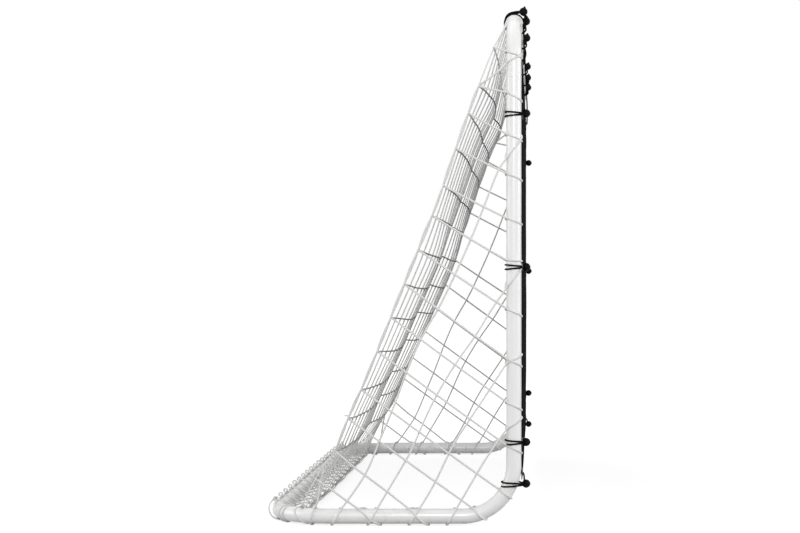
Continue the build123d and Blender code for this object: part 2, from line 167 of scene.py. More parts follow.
# --- Materials ----------------------------------------------------------------
class Finish:
    """A material in the making, with short ways to add its nodes. Numbers and outputs go in alike."""

    def __init__(self, name, colour, roughness, **inputs):
        self.material = bpy.data.materials.new(name)
        self.material.use_nodes = True
        self.tree = self.material.node_tree
        self.shader = self.tree.nodes["Principled BSDF"]
        self.give(self.shader, Base_Color=colour, Roughness=roughness, **inputs)

    def give(self, node, **inputs):
        """Fill a node's inputs, with underscores for the spaces in their names."""
        for label, value in inputs.items():
            self.fill(node.inputs[label.replace("_", " ")], value)

    def fill(self, socket, value):
        """Set one input: from an output, a colour or a number."""
        if isinstance(value, bpy.types.NodeSocket):
            self.tree.links.new(value, socket)
        else:
            socket.default_value = (*value, 1) if isinstance(value, tuple) else value

    def add(self, kind, label="", **options):
        node = self.tree.nodes.new(kind)
        node.label = label
        for key, value in options.items():
            setattr(node, key, value)
        return node

    def place(self, kind="Object"):
        return self.add("ShaderNodeTexCoord").outputs[kind]

    def split(self, place):
        """The three coordinates of a place."""
        node = self.add("ShaderNodeSeparateXYZ")
        self.tree.links.new(place, node.inputs[0])
        return node.outputs

    def noise(self, place, label, **inputs):
        node = self.add("ShaderNodeTexNoise", label)
        self.give(node, Vector=place, **inputs)
        return node.outputs["Fac"]

    def maths(self, operation, *terms, label=""):
        node = self.add("ShaderNodeMath", label, operation=operation)
        for socket, term in zip(node.inputs, terms):
            self.fill(socket, term)
        return node.outputs[0]

    def wave(self, place, pitch, label):
        """A sine wave along a coordinate."""
        return self.maths("SINE", self.maths("MULTIPLY", place, 2 * pi / pitch, label=label))

    def scaled(self, value, label="", smooth=False, **bounds):
        """A value moved from one range to another."""
        node = self.add("ShaderNodeMapRange", label)
        if smooth:
            node.interpolation_type = "SMOOTHSTEP"
        self.give(node, Value=value, **bounds)
        return node.outputs[0]

    def mixed(self, share, first, second, label="colour variation and painted light"):
        """Two colours mixed by a share. Some finishes use it to mix a lit and a shaded copy of one colour, as
        painted light and shade.
        """
        node = self.add("ShaderNodeMix", label, data_type="RGBA")
        for number, value in ((0, share), (6, first), (7, second)):
            self.fill(node.inputs[number], value)
        return node.outputs[2]

    def relief(self, height, strength, distance):
        node = self.add("ShaderNodeBump")
        self.give(node, Strength=strength, Distance=distance, Height=height)
        self.give(self.shader, Normal=node.outputs[0])


def shade(colour, share, lift=0.0):
    """A colour made darker or lighter."""
    return tuple(c * share + lift for c in colour)


def paint_material(settings):
    """White powder coat: orange peel, faint tone changes, scuffs and a little dirt near the ground."""
    colour, roughness = tuple(settings.paint), settings.gloss_roughness
    coat = Finish("white_powder_coat", colour, roughness, Coat_Weight=0.25, Coat_Roughness=0.12)
    place = coat.place()
    tone = coat.noise(place, "tone", Scale=3.0, Detail=3.0)
    tinted = coat.mixed(tone, colour, shade(colour, 0.965))
    height = coat.split(place)["Z"]
    low_down = coat.scaled(height, "near the ground", smooth=True, From_Min=0.075, From_Max=-0.002)
    scuff = coat.noise(place, "scuffs", Scale=38.0, Detail=6.0, Roughness=0.68)
    scuffed = coat.scaled(scuff, "scuff mask", From_Min=0.53, From_Max=0.68)
    dirty = coat.maths("MULTIPLY", coat.maths("MULTIPLY", scuffed, low_down), 0.35)
    coat.give(coat.shader, Base_Color=coat.mixed(dirty, tinted, (0.34, 0.32, 0.28), "dirt"))
    coat.relief(coat.noise(place, "orange peel", Scale=620.0, Detail=2.0), 0.25, 0.0003)
    worn = coat.scaled(scuff, "roughness", To_Min=roughness - 0.06, To_Max=roughness + 0.10)
    coat.give(coat.shader, Roughness=worn)
    return coat.material


def cord_material(name, light, hollow_shade, pitch, plies, fleck=0.0, specular=0.3, depth=0.0005):
    """Laid or braided cord, with painted light and shade: lighter ridges and darker hollows between its plies. The
    UV map runs in metres along the cord and once round it.
    """
    cord = Finish(name, light, 0.62, Specular_IOR_Level=specular)
    split = cord.split(cord.place("UV"))
    ridges = []
    for hand in (1, -1) if plies > 3 else (1,):
        lay = cord.maths("MULTIPLY", split["X"], hand * 2 * pi / pitch, label="along the lay")
        turn = cord.maths("MULTIPLY_ADD", split["Y"], 2 * pi * plies, lay, label="round the cord")
        ridges.append(cord.maths("SINE", turn))
    height = ridges[0] if len(ridges) == 1 else cord.maths("MULTIPLY", *ridges, label="braid")
    share = cord.scaled(height, "ridge height and painted shade", From_Min=-1.0)
    fibre = cord.noise(cord.place(), "fibres", Scale=900.0, Detail=2.0)
    # Painted light and shade: the ridges take the light colour and the hollows between the plies take the shade
    # colour
    colour = cord.mixed(share, hollow_shade, light)
    if fleck:
        spots = cord.scaled(fibre, "fleck", From_Min=0.60, From_Max=0.66, To_Max=fleck)
        colour = cord.mixed(spots, colour, (0.20, 0.20, 0.21), "flecks")
    cord.give(cord.shader, Base_Color=colour)
    cord.relief(cord.maths("MULTIPLY_ADD", fibre, 0.25, share), 0.9, depth)
    return cord.material


def mesh_fabric_material(colour):
    """Black knitted mesh: rows of small open diamonds between thicker yarns, with painted light on the yarns and
    painted shade in the diamonds.
    """
    cloth = Finish("knitted_mesh", colour, 0.85, Specular_IOR_Level=0.0)
    place = cloth.place()
    split = cloth.split(place)
    waves = []
    for slope in (1.0, -1.0):
        diagonal = cloth.maths("MULTIPLY_ADD", split["X"], slope, split["Z"], label="diagonal")
        waves.append(cloth.wave(diagonal, 0.0046, "stitch"))
    knit = cloth.maths("MAXIMUM", *waves, label="knit")
    raised = cloth.scaled(knit, "yarn", smooth=True, From_Min=-0.9, From_Max=0.7)
    fuzz = cloth.noise(place, "yarn fuzz", Scale=1400.0, Detail=2.0)
    marks = cloth.noise(place, "handling marks", Scale=5.0, Detail=5.0, Roughness=0.6)
    # Painted light and shade over random handling marks: the raised yarns take a lighter copy of the sheet's
    # colour, and the diamonds between them take a darker copy
    tone = cloth.maths("MULTIPLY_ADD", marks, 0.4, cloth.maths("MULTIPLY", raised, 0.7))
    knit_light_and_shade = cloth.mixed(tone, shade(colour, 0.4), shade(colour, 2.6, 0.004))
    cloth.give(cloth.shader, Base_Color=knit_light_and_shade)
    cloth.relief(cloth.maths("MULTIPLY_ADD", fuzz, 0.2, raised), 1.0, 0.0007)
    return cloth.material


def webbing_material(name, colour):
    """Black polyester webbing with fine ribs across it, with painted light on the raised ribs."""
    web = Finish(name, colour, 0.8, Specular_IOR_Level=0.0)
    split = web.split(web.place())
    ribs = [web.wave(split[axis], pitch, "rib") for axis, pitch in (("X", 0.0021), ("Z", 0.0016))]
    weave = web.scaled(web.maths("MULTIPLY", *ribs, label="plain weave"), From_Min=-1.0)
    # Painted light: the raised ribs take a lighter copy of the black, and the hollows keep the black itself
    web.give(web.shader, Base_Color=web.mixed(weave, colour, shade(colour, 2.2, 0.003)))
    web.relief(weave, 0.8, 0.0005)
    return web.material


def moulded_plastic_material():
    """Black moulded plastic for the balls: satin, with a fine spark texture and rubbed marks."""
    ball = Finish("black_moulded_plastic", (0.006, 0.006, 0.006), 0.42, Specular_IOR_Level=0.04)
    place = ball.place()
    rub = ball.noise(place, "rubbed marks", Scale=90.0, Detail=4.0)
    colour = ball.mixed(rub, (0.003, 0.003, 0.003), (0.008, 0.008, 0.008))
    ball.give(ball.shader, Base_Color=colour, Roughness=ball.scaled(rub, To_Min=0.28, To_Max=0.52))
    ball.relief(ball.noise(place, "spark texture", Scale=1500.0, Detail=2.0), 0.3, 0.0002)
    return ball.material


def metal_material(name, colour, roughness, tarnish):
    """Plated metal with faint turning marks and tarnish."""
    metal = Finish(name, colour, roughness, Metallic=1.0)
    place = metal.place()
    cloud = metal.noise(place, "tarnish", Scale=140.0, Detail=5.0)
    varied = metal.scaled(cloud, To_Min=roughness - 0.08, To_Max=roughness + 0.15)
    metal.give(metal.shader, Base_Color=metal.mixed(cloud, colour, tarnish), Roughness=varied)
    metal.relief(metal.noise(place, "fine marks", Scale=2200.0, Detail=1.0), 0.15, 0.0001)
    return metal.material


materials = {}


# --- Making pieces ------------------------------------------------------------
def to_mesh(shape, name="piece"):
    """Turn a finished bmesh into a mesh."""
    mesh = bpy.data.meshes.new(name)
    shape.to_mesh(mesh)
    shape.free()
    return mesh


def add_piece(name, mesh, material, replaced=(), smooth=True):
    """Link a finished mesh as a piece of the object, with its material, under the body's empty."""
    mesh.name = name
    piece = bpy.data.objects.new(name, mesh)
    bpy.context.scene.collection.objects.link(piece)
    mesh.materials.clear()
    mesh.materials.append(materials[material])
    if smooth:
        mesh.polygons.foreach_set("use_smooth", [True] * len(mesh.polygons))
    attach(piece, BODY)
    if replaced:
        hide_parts(*replaced)
    return piece


def measure_uv(mesh, sides):
    """Turn the UV map's first coordinate from a share of each cord into metres along it."""
    layer = mesh.uv_layers[0].data
    uv = np.zeros(len(layer) * 2)
    layer.foreach_get("uv", uv)
    place = np.zeros(len(mesh.vertices) * 3)
    mesh.vertices.foreach_get("co", place)
    index = np.zeros(len(mesh.loops), int)
    mesh.loops.foreach_get("vertex_index", index)
    points = place.reshape(-1, 3)[index].reshape(-1, sides, 4, 3)
    step = np.linalg.norm(points[:, :, 1] - points[:, :, 0], axis=2).mean(axis=1)
    ends = np.cumsum(step)
    share = uv.reshape(-1, sides, 4, 2)[:, :, :, 0]
    starts = share[:, 0].min(axis=1) < NEAR_ZERO
    offset = np.maximum.accumulate(np.where(starts, ends - step, 0.0))
    is_far = share > share.min(axis=(1, 2), keepdims=True) + NEAR_ZERO
    share[...] = np.where(is_far, (ends - offset)[:, None, None], (ends - step - offset)[:, None, None])
    layer.foreach_set("uv", uv)


def cord_mesh(paths, diameter, bevel=1, steps=4):
    """Round cords as one mesh, one cord along each list of points."""
    curve = bpy.data.curves.new("cord_route", "CURVE")
    curve.dimensions = "3D"
    curve.bevel_depth = diameter / 2
    curve.bevel_resolution = bevel
    curve.resolution_u = steps
    curve.use_fill_caps = False
    for path in paths:
        spline = curve.splines.new("NURBS")
        spline.points.add(len(path) - 1)
        for point, place in zip(spline.points, path):
            point.co = (*place, 1)
        spline.order_u = 3
        spline.use_endpoint_u = True
    holder = bpy.data.objects.new("cord_holder", curve)
    bpy.context.scene.collection.objects.link(holder)
    graph = bpy.context.evaluated_depsgraph_get()
    mesh = bpy.data.meshes.new_from_object(holder.evaluated_get(graph), depsgraph=graph)
    bpy.data.objects.remove(holder)
    bpy.data.curves.remove(curve)
    measure_uv(mesh, 4 + 2 * bevel)
    close_ends(mesh)
    return mesh


def close_ends(mesh):
    """Fill the open ends of cords."""
    shape = bmesh.new()
    shape.from_mesh(mesh)
    rims = [edge for edge in shape.edges if edge.is_boundary]
    bmesh.ops.holes_fill(shape, edges=rims, sides=0)
    shape.to_mesh(mesh)
    shape.free()


def settled(shape):
    """Turn a finished bmesh into a mesh with its vertices and faces in the same order each time."""
    verts = sorted(shape.verts, key=lambda vertex: [round(value, 6) for value in vertex.co])
    number = {vertex: i for i, vertex in enumerate(verts)}
    faces = []
    for face in shape.faces:
        corners = [number[vertex] for vertex in face.verts]
        first = corners.index(min(corners))
        faces.append(corners[first:] + corners[:first])
    mesh = bpy.data.meshes.new("small_shape")
    mesh.from_pydata([vertex.co[:] for vertex in verts], [], sorted(faces))
    shape.free()
    return mesh


def scatter(shape_maker, places):
    """One mesh that holds a copy of a small shape at each matrix."""
    model = bmesh.new()
    shape_maker(model)
    small = settled(model)
    whole = bmesh.new()
    for matrix in places:
        before = len(whole.verts)
        whole.from_mesh(small)
        whole.verts.ensure_lookup_table()
        bmesh.ops.transform(whole, matrix=matrix, verts=whole.verts[before:])
    bpy.data.meshes.remove(small)
    return to_mesh(whole)


def bead(segments, rings, radius, size):
    """A maker of small round shapes, scaled on each axis."""
    def make(shape):
        bmesh.ops.create_uvsphere(shape, u_segments=segments, v_segments=rings, radius=radius)
        bmesh.ops.scale(shape, vec=size, verts=shape.verts)
    return make


def spin_profile(shape, profile, steps):
    """Turn a closed profile of (radius, height) round Z."""
    verts = [shape.verts.new((x, 0, z)) for x, z in profile]
    edges = [shape.edges.new((a, b)) for a, b in zip(verts, verts[1:] + verts[:1])]
    bmesh.ops.spin(
        shape, geom=verts + edges, cent=(0, 0, 0), axis=UP, angle=2 * pi, steps=steps, use_merge=True,
        use_duplicate=False,
    )
    bmesh.ops.remove_doubles(shape, verts=shape.verts, dist=SAME_PLACE)
    bmesh.ops.recalc_face_normals(shape, faces=shape.faces)


# --- The net's shape ----------------------------------------------------------
# Places are kept as (behind the posts, height). The back net's edge in the side plane:
EDGE_LINE = (
    (0.030, 1.664), (0.133, 1.400), (0.188, 1.248), (0.250, 1.063), (0.422, 0.640), (0.482, 0.488),
    (0.546, 0.350), (0.587, 0.243), (0.606, 0.225), (0.625, 0.194), (0.649, 0.153), (0.663, 0.135),
    (0.701, 0.060),
)
ROW_HEIGHTS = (1.572, 1.443, 1.354, 1.238, 1.116, 1.017, 0.905, 0.792, 0.683, 0.571, 0.445, 0.350, 0.243)
FOLD = len(ROW_HEIGHTS) - 1  # the row at which the back net turns down to its hem
LOWER_ROW = 0.47  # the share of the way from the fold to the hem at which one more row lies
# How each row hangs: forward at the middle, forward at the two lobes, and down
ROW_HANG = (
    (0.002, 0.007, 0.002), (0.021, 0.022, -0.008), (0.010, 0.008, 0.000), (0.010, 0.006, -0.004),
    (0.008, 0.008, 0.002), (0.008, 0.014, 0.006), (0.0075, 0.029, 0.020), (0.0064, 0.025, 0.020),
    (0.0053, 0.021, 0.020), (0.0043, 0.017, 0.019), (0.0032, 0.012, 0.016), (0.0022, 0.0084, 0.020),
    (0.0011, 0.0043, 0.020),
)
EDGE_X = 1.197
# Shares of the net cord's diameter for the cords of its parts
LOWER_CORD, HEM_CORD, LACING_CORD, SIDE_CORD = 0.7, 0.8, 0.95, 1.18
ON_TUBE = 1.05  # cord radii from a tube's face to the middle of a cord that lies on it
PRESSED_IN = 0.0022  # how far a strand goes below the tube's face where the sheet's hem presses on it
UNDER_BAR = -0.0025  # the lowest that a cord goes below the rear bar
TAIL_HEIGHT = 0.357
OVER_START, OVER_END, OVER_STEPS = 230, 28, 9  # a column's wrap over the crossbar, in degrees from behind
CLIMB_INSIDE, CLIMB_RUN = 0.050, 0.060  # where the hem begins to climb inside a rail, and how long it climbs
LACED_PAST = 0.09  # how far the lacing goes on round the rear bends
LOOP_ANGLE, LOOP_OUT, LOOP_SIZE = 56, 0.0112, 0.0070  # the small loop in each turn of the lacing
RUN_ANGLE = 66  # where the lacing runs along the bar from turn to turn
KNOT_SEED, CORD_SEED = 11, 5
# The hem lies on the ground and climbs over the side rails at its ends: (from left post, behind the posts)
HEM_LINE = (
    (0.0, 0.701), (0.10, 0.712), (0.53, 0.724), (0.76, 0.713), (1.10, 0.709), (1.58, 0.708), (2.27, 0.703),
    (2.36, 0.698),
)

# Side net. Strands that come down from the back net's edge: their height there, the points between as
# (behind the posts, height), and a hook on the frame. A hook is (post, height behind it, height in front),
# (rail, behind the posts above it, and below it), or (bend, degrees round it on its inside, and outside).
SIDE_STRANDS = (
    (1.572, (), ("post", 1.560, 1.536)),
    (1.443, (), ("post", 1.425, 1.391)),
    (1.443, ((0.040, 1.500),), ("post", 1.522, 1.553)),
    (1.354, (), ("post", 1.288, 1.261)),
    (1.238, ((0.100, 1.193),), ("post", 1.158, 1.130)),
    (1.116, (), ("post", 1.010, 0.986)),
    (1.017, (), ("post", 0.871, 0.867)),
    (0.905, (), ("post", 0.712, 0.683)),
    (0.792, (), ("post", 0.548, 0.517)),
    (0.683, (), ("post", 0.404, 0.373)),
    (0.571, (), ("post", 0.262, 0.231)),
    (0.445, (), ("bend", 213.3, 214.2)),
    (0.350, (), ("bend", 256.3, 244.9)),
    (0.243, ((0.533, 0.193), (0.484, 0.158), (0.417, 0.108)), ("rail", 0.344, 0.277)),
    (0.150, ((0.611, 0.123), (0.553, 0.079)), ("rail", 0.510, 0.435)),
)
# Strands that cross them, from their hook on the rail up to their hook on the post, or to the edge
CROSS_STRANDS = (
    (("rail", 0.655, 0.668), ((0.646, 0.073), (0.640, 0.120), (0.625, 0.194)), None),
    (
        ("rail", 0.569, 0.604),
        ((0.548, 0.078), (0.491, 0.158), (0.461, 0.226), (0.430, 0.305), (0.392, 0.395), (0.347, 0.520),
         (0.300, 0.625), (0.245, 0.715), (0.192, 0.826), (0.132, 0.960), (0.082, 1.090), (0.050, 1.172)),
        ("post", 1.205, 1.286),
    ),
    (
        ("rail", 0.451, 0.485),
        ((0.417, 0.108), (0.356, 0.210), (0.336, 0.246), (0.275, 0.390), (0.200, 0.520), (0.118, 0.632),
         (0.082, 0.696)),
        ("post", 0.778, 0.858),
    ),
    (
        ("rail", 0.312, 0.350), ((0.262, 0.130), (0.205, 0.255), (0.146, 0.345), (0.085, 0.435)),
        ("post", 0.530, 0.563),
    ),
    (("rail", 0.190, 0.224), ((0.155, 0.110), (0.100, 0.205), (0.066, 0.255)), ("post", 0.313, 0.356)),
)


def along(line, place):
    """The second value of a broken line at a place along its first value."""
    for (x0, y0), (x1, y1) in zip(line, line[1:]):
        if place <= x1:
            return y0 + (y1 - y0) * (place - x0) / (x1 - x0)
    return line[-1][1]


def edge_behind(height):
    """How far behind the posts the back net's edge is at a height."""
    return along([(z, y) for y, z in reversed(EDGE_LINE)], height)


def behind(x, distance, height):
    """A point by its distance behind the posts."""
    return Vector((x, POST_Y + distance, height))


def clamp(value, high=1.0):
    """A value held between nothing and a limit."""
    return min(max(value, 0.0), high)


def lobe(x):
    """The share of the two lobes in which the back net hangs, held at both ends and the middle.

    The lobe on the far half is a quarter deeper.
    """
    across = clamp((x + EDGE_X) / (2 * EDGE_X))
    return (1.0 + 0.25 * clamp(2 * across - 1)) * abs(sin(2 * pi * across)) ** 0.85


def bow(x):
    """The share of one plain bow from edge to edge."""
    return sin(pi * clamp((x + EDGE_X) / (2 * EDGE_X)))


def dip(past, radius):
    """How far a round bend has turned away from its straight at a distance past where it starts."""
    return radius - sqrt(radius**2 - clamp(past, radius) ** 2)


def hem_place(x):
    """Where the net's lower hem lies at x, on the ground or over a side rail."""
    distance = along(HEM_LINE, x + POST_X)
    inner = BEND_X + sqrt((REAR_BEND - TUBE_R) ** 2 - (distance - BEND_BEHIND) ** 2)
    climb = clamp((abs(x) - inner + CLIMB_INSIDE) / CLIMB_RUN)
    return behind(x, distance, 0.004 + (2 * TUBE_R + 0.002) * climb**2 * (3 - 2 * climb))


def knot_grid(settings):
    """Places of the back net's knots: rows of points, from the top row down to the last above the hem."""
    rng = random.Random(KNOT_SEED)
    columns = settings.columns
    xs = [-EDGE_X + 2 * EDGE_X * i / columns for i in range(columns + 1)]
    rows = []
    for height, (middle, lobes, drop) in zip(ROW_HEIGHTS, ROW_HANG):
        row = []
        for i, x in enumerate(xs):
            wander = settings.wander * (0 < i < columns)
            forward = settings.slack * (middle * bow(x) + lobes * lobe(x))
            sag = settings.slack * drop * (0.2 * bow(x) + 0.8 * lobe(x))
            row.append(behind(
                x + 3 * rng.uniform(-wander, wander),
                edge_behind(height) - forward + rng.uniform(-wander, wander),
                height - sag + rng.uniform(-wander, wander),
            ))
        rows.append(row)
    out = settings.belly * sin(pi * LOWER_ROW ** 0.8)
    row = []
    for i, x in enumerate(xs):
        wander = 2 * settings.wander * (0 < i < columns)
        aside, above = rng.uniform(-wander, wander), rng.uniform(-wander, wander)
        row.append(rows[FOLD][i].lerp(hem_place(x), LOWER_ROW) + Vector((aside, out, out * 0.5 + above)))
    rows.append(row)
    return xs, rows


def round_point(centre, outward, inside, angle, reach):
    """A point round a tube at an angle in degrees: 0 is outward, 90 is inside."""
    return centre + reach * (cos(radians(angle)) * outward + sin(radians(angle)) * inside)


# The angles of a hook's points round the tube. It goes one way along the tube until it is under, then back
HOOK_ANGLES = (58, 30, 0, -30, -60, -78, -95, -112, -130, -160, -195, -235, -270, -296)
HOOK_START, HOOK_UNDER, HOOK_END = HOOK_ANGLES[0], -90, HOOK_ANGLES[-1]
OFF_TUBE = 1.6  # as ON_TUBE, at a hook's two ends


def hook(side, kind, first, second, r):
    """A strand's hook on the frame: over its outer face, round it, and back to where it began."""
    out = Vector((side, 0, 0))
    places = []
    for angle in HOOK_ANGLES:
        if angle >= HOOK_UNDER:
            share = (HOOK_START - angle) / (HOOK_START - HOOK_UNDER)
        else:
            share = 1 - (HOOK_UNDER - angle) / (HOOK_UNDER - HOOK_END)
        value = first + (second - first) * share
        if kind == "post":
            centre, inside = Vector((side * POST_X, POST_Y, value)), BACK
        elif kind == "rail":
            turn = asin(clamp(value - BEND_BEHIND, REAR_BEND) / REAR_BEND)
            out = Vector((side * cos(turn), sin(turn), 0))
            centre = Vector((side * (POST_X - REAR_BEND * (1 - cos(turn))), POST_Y + value, RAIL_Z))
            inside = UP
        else:
            inside = -Vector((0, cos(radians(value)), sin(radians(value))))
            centre = Vector((side * POST_X, POST_Y + FRONT_BEND, RAIL_Z + FRONT_BEND)) - FRONT_BEND * inside
        reach = TUBE_R + (OFF_TUBE if angle in (HOOK_START, HOOK_END) else ON_TUBE) * r
        if kind != "rail" and -125 < angle < HOOK_UNDER:
            reach = TUBE_R - PRESSED_IN
        places.append(round_point(centre, out, inside, angle, reach))
    return places


def crossing(a, b, c, d):
    """Where the line from a to b crosses the line from c to d, seen from the side, if it does."""
    across = (b.y - a.y) * (d.z - c.z) - (b.z - a.z) * (d.y - c.y)
    if abs(across) < NEAR_ZERO:
        return None
    t = ((c.y - a.y) * (d.z - c.z) - (c.z - a.z) * (d.y - c.y)) / across
    u = ((c.y - a.y) * (b.z - a.z) - (c.z - a.z) * (b.y - a.y)) / across
    return a.lerp(b, t) if 0 <= t <= 1 and 0 <= u <= 1 else None


def side_strands(side, r):
    """Both families of strands of one side net, and the places where they cross."""
    outer = side * (POST_X + TUBE_R * 0.7)
    paths, down, up = [], [], []
    for start, between, held in SIDE_STRANDS:
        first = behind(side * EDGE_X, edge_behind(start), start)
        wrap = hook(side, *held, r)
        middle = [behind(outer, *place) for place in between]
        if not middle:
            middle = [first.lerp(wrap[0], t) + Vector((side * 0.003, 0, -0.0015)) for t in (0.35, 0.7)]
        paths.append([first, *middle, *wrap])
        down.append([first, *middle, wrap[0]])
    for foot, between, held in CROSS_STRANDS:
        middle = [behind(outer, *place) for place in between]
        low = hook(side, *foot, r)[::-1]
        high = hook(side, *held, r) if held else []
        paths.append([*low, *middle, *high])
        up.append([low[-1], *middle, *high[:1]])
    knots = [
        crossing(a, b, c, d)
        for line in down for other in up for a, b in zip(line, line[1:]) for c, d in zip(other, other[1:])
    ]
    return paths, [knot for knot in knots if knot]


def edge_cords(side, rng):
    """The side net's own edge cords beside the back net's edge, meeting it at the knots."""
    heights = [height for height in ROW_HEIGHTS if height < 1.56]
    paths = []
    for hand in (-1, 1):
        path = []
        for high, low in zip(heights, heights[1:]):
            for share in (0.0, 0.3, 0.7):
                z = high + (low - high) * share
                bulge = 0.0 if share == 0 else (0.0028 + rng.uniform(-0.001, 0.0015)) * hand
                lean, rise = 0.92 * bulge, 0.38 * bulge  # square to the edge's slope
                path.append(behind(side * (EDGE_X + 0.002 * hand), edge_behind(z) + lean, z + rise))
        path.append(behind(side * EDGE_X, edge_behind(heights[-1]), heights[-1]))
        paths.append(path)
    return paths


def bar_point(x, angle, off):
    """A point round the rear bar, or the bend beside it: 0 degrees is behind, 90 on top, 180 in front."""
    line, reach = REAR_Y - dip(abs(x) - BEND_X, REAR_BEND), TUBE_R + off
    height = max(RAIL_Z + reach * sin(radians(angle)), UNDER_BAR)
    return Vector((x, line + reach * cos(radians(angle)), height))


def lacing(xs, r, rng):
    """The turns that tie the hem to the rear bar, each with a small loop that stands at the bar's back."""
    paths, knots = [], []
    places = [x for x in xs if abs(x) < BEND_X + LACED_PAST]
    for x in places:
        lean = rng.uniform(0.004, 0.020)
        hem = hem_place(x)

        def turn_point(angle, off):
            """A point of this turn, which leans more and more to one side."""
            return bar_point(x + lean * sin(radians(172 - angle) * 0.6), angle, off)

        rise = [turn_point(angle, r) for angle in (124, 100, 78)]
        path = [hem + Vector((0, 0.002, 0.004)), hem.lerp(rise[0], 0.5) + Vector((0.002, 0, 0.001)), *rise]
        centre = bar_point(x + 0.008, LOOP_ANGLE, LOOP_OUT)
        size = LOOP_SIZE + rng.uniform(-0.0005, 0.0007)
        for step in range(10):
            turn = radians(200 - 45 * step)
            path.append(centre + Vector((0.0006 * step, size * cos(turn), size * sin(turn))))
        fall = ((25, 1), (-10, 1.4), (-40, 1), (-68, 1), (-95, 1), (-130, 1))
        path += [turn_point(angle, off * r) for angle, off in fall]
        path.append(hem.lerp(bar_point(x, 172, r), 0.5) + Vector((0.004, 0, -0.001)))
        path.append(hem + Vector((0.003, 0.002, 0.001)))
        paths.append(path)
        knots.append(bar_point(x + 0.006, 80, 0.6 * r))
    for a, b in zip(places, places[1:]):
        paths.append([
            bar_point(a + (b - a) * t, RUN_ANGLE, r + 0.0015 * sin(pi * t)) for t in (0, 0.5, 1)
        ])
    return paths, knots


def round_bend(side, turn, angle, r):
    """A point on a cord round a rear bend's tube, by its turns along the bend and round the tube."""
    out = Vector((side * cos(turn), sin(turn), 0))
    centre = behind(side * BEND_X, BEND_BEHIND, RAIL_Z) + REAR_BEND * out
    return round_point(centre, out, UP, angle, TUBE_R + ON_TUBE * r)


def corner_loops(side, r):
    """The slack loops that hang behind a rear corner, and the turns round the bend's tube."""
    def at(inside, distance, height):
        """A point by its distances in from the post's line and behind it."""
        return behind(side * (POST_X - inside), distance, height)

    paths = [
        [at(0.155, 0.808, 0.066), at(0.110, 0.814, 0.066), at(0.098, 0.822, 0.052), at(0.094, 0.824, 0.034),
         at(0.096, 0.816, 0.014), at(0.104, 0.800, 0.002), at(0.120, 0.780, -0.002)],
        [at(0.165, 0.806, 0.060), at(0.135, 0.804, 0.058), at(0.124, 0.807, 0.040), at(0.122, 0.806, 0.020),
         at(0.128, 0.796, 0.004), at(0.150, 0.775, -0.002)],
    ]
    for turn, drift in ((55, 0.0), (48, 6.0)):
        paths.append([
            round_bend(side, radians(turn + drift * (100 - angle) / 360), angle, r)
            for angle in range(100, -261, -24)
        ])
    # The hem's end goes over the bend, down its outer face and back below it
    hem_end = (
        (0.712, 110), (0.716, 75), (0.716, 40), (0.708, 5), (0.695, -35), (0.682, -75), (0.672, -120),
    )
    paths.append([
        round_bend(side, asin((distance - BEND_BEHIND) / REAR_BEND), angle, r) for distance, angle in hem_end
    ])
    return paths


def hem_bunch():
    """The cords that lie together on the ground as the back net's hem."""
    bunch = []
    for strand, (aside, above) in enumerate(((-0.005, 0.0), (0.0, 0.0015), (0.005, 0.0), (0.001, 0.0055))):
        path = []
        for i in range(49):
            x = -POST_X + 0.012 + (2 * POST_X - 0.024) * i / 48
            wave = 0.0022 * sin(i * 0.9 + strand * 1.7)
            path.append(hem_place(x) + Vector((0, aside + wave, above + abs(wave) * 0.3)))
        bunch.append(path)
    return bunch


def over_crossbar(x, r):
    """A column's top end, wrapped over the crossbar or the bend beside it."""
    inside = min(max(x, -POST_X + 0.06), POST_X - 0.06)
    drop = dip(abs(inside) - (POST_X - TOP_BEND), TOP_BEND)
    bar = Vector((inside, POST_Y, CROSSBAR_Z - drop))
    angles = [OVER_START + (OVER_END - OVER_START) * i / OVER_STEPS for i in range(OVER_STEPS + 1)]
    return [round_point(bar, BACK, UP, angle, TUBE_R + ON_TUBE * r) for angle in angles]


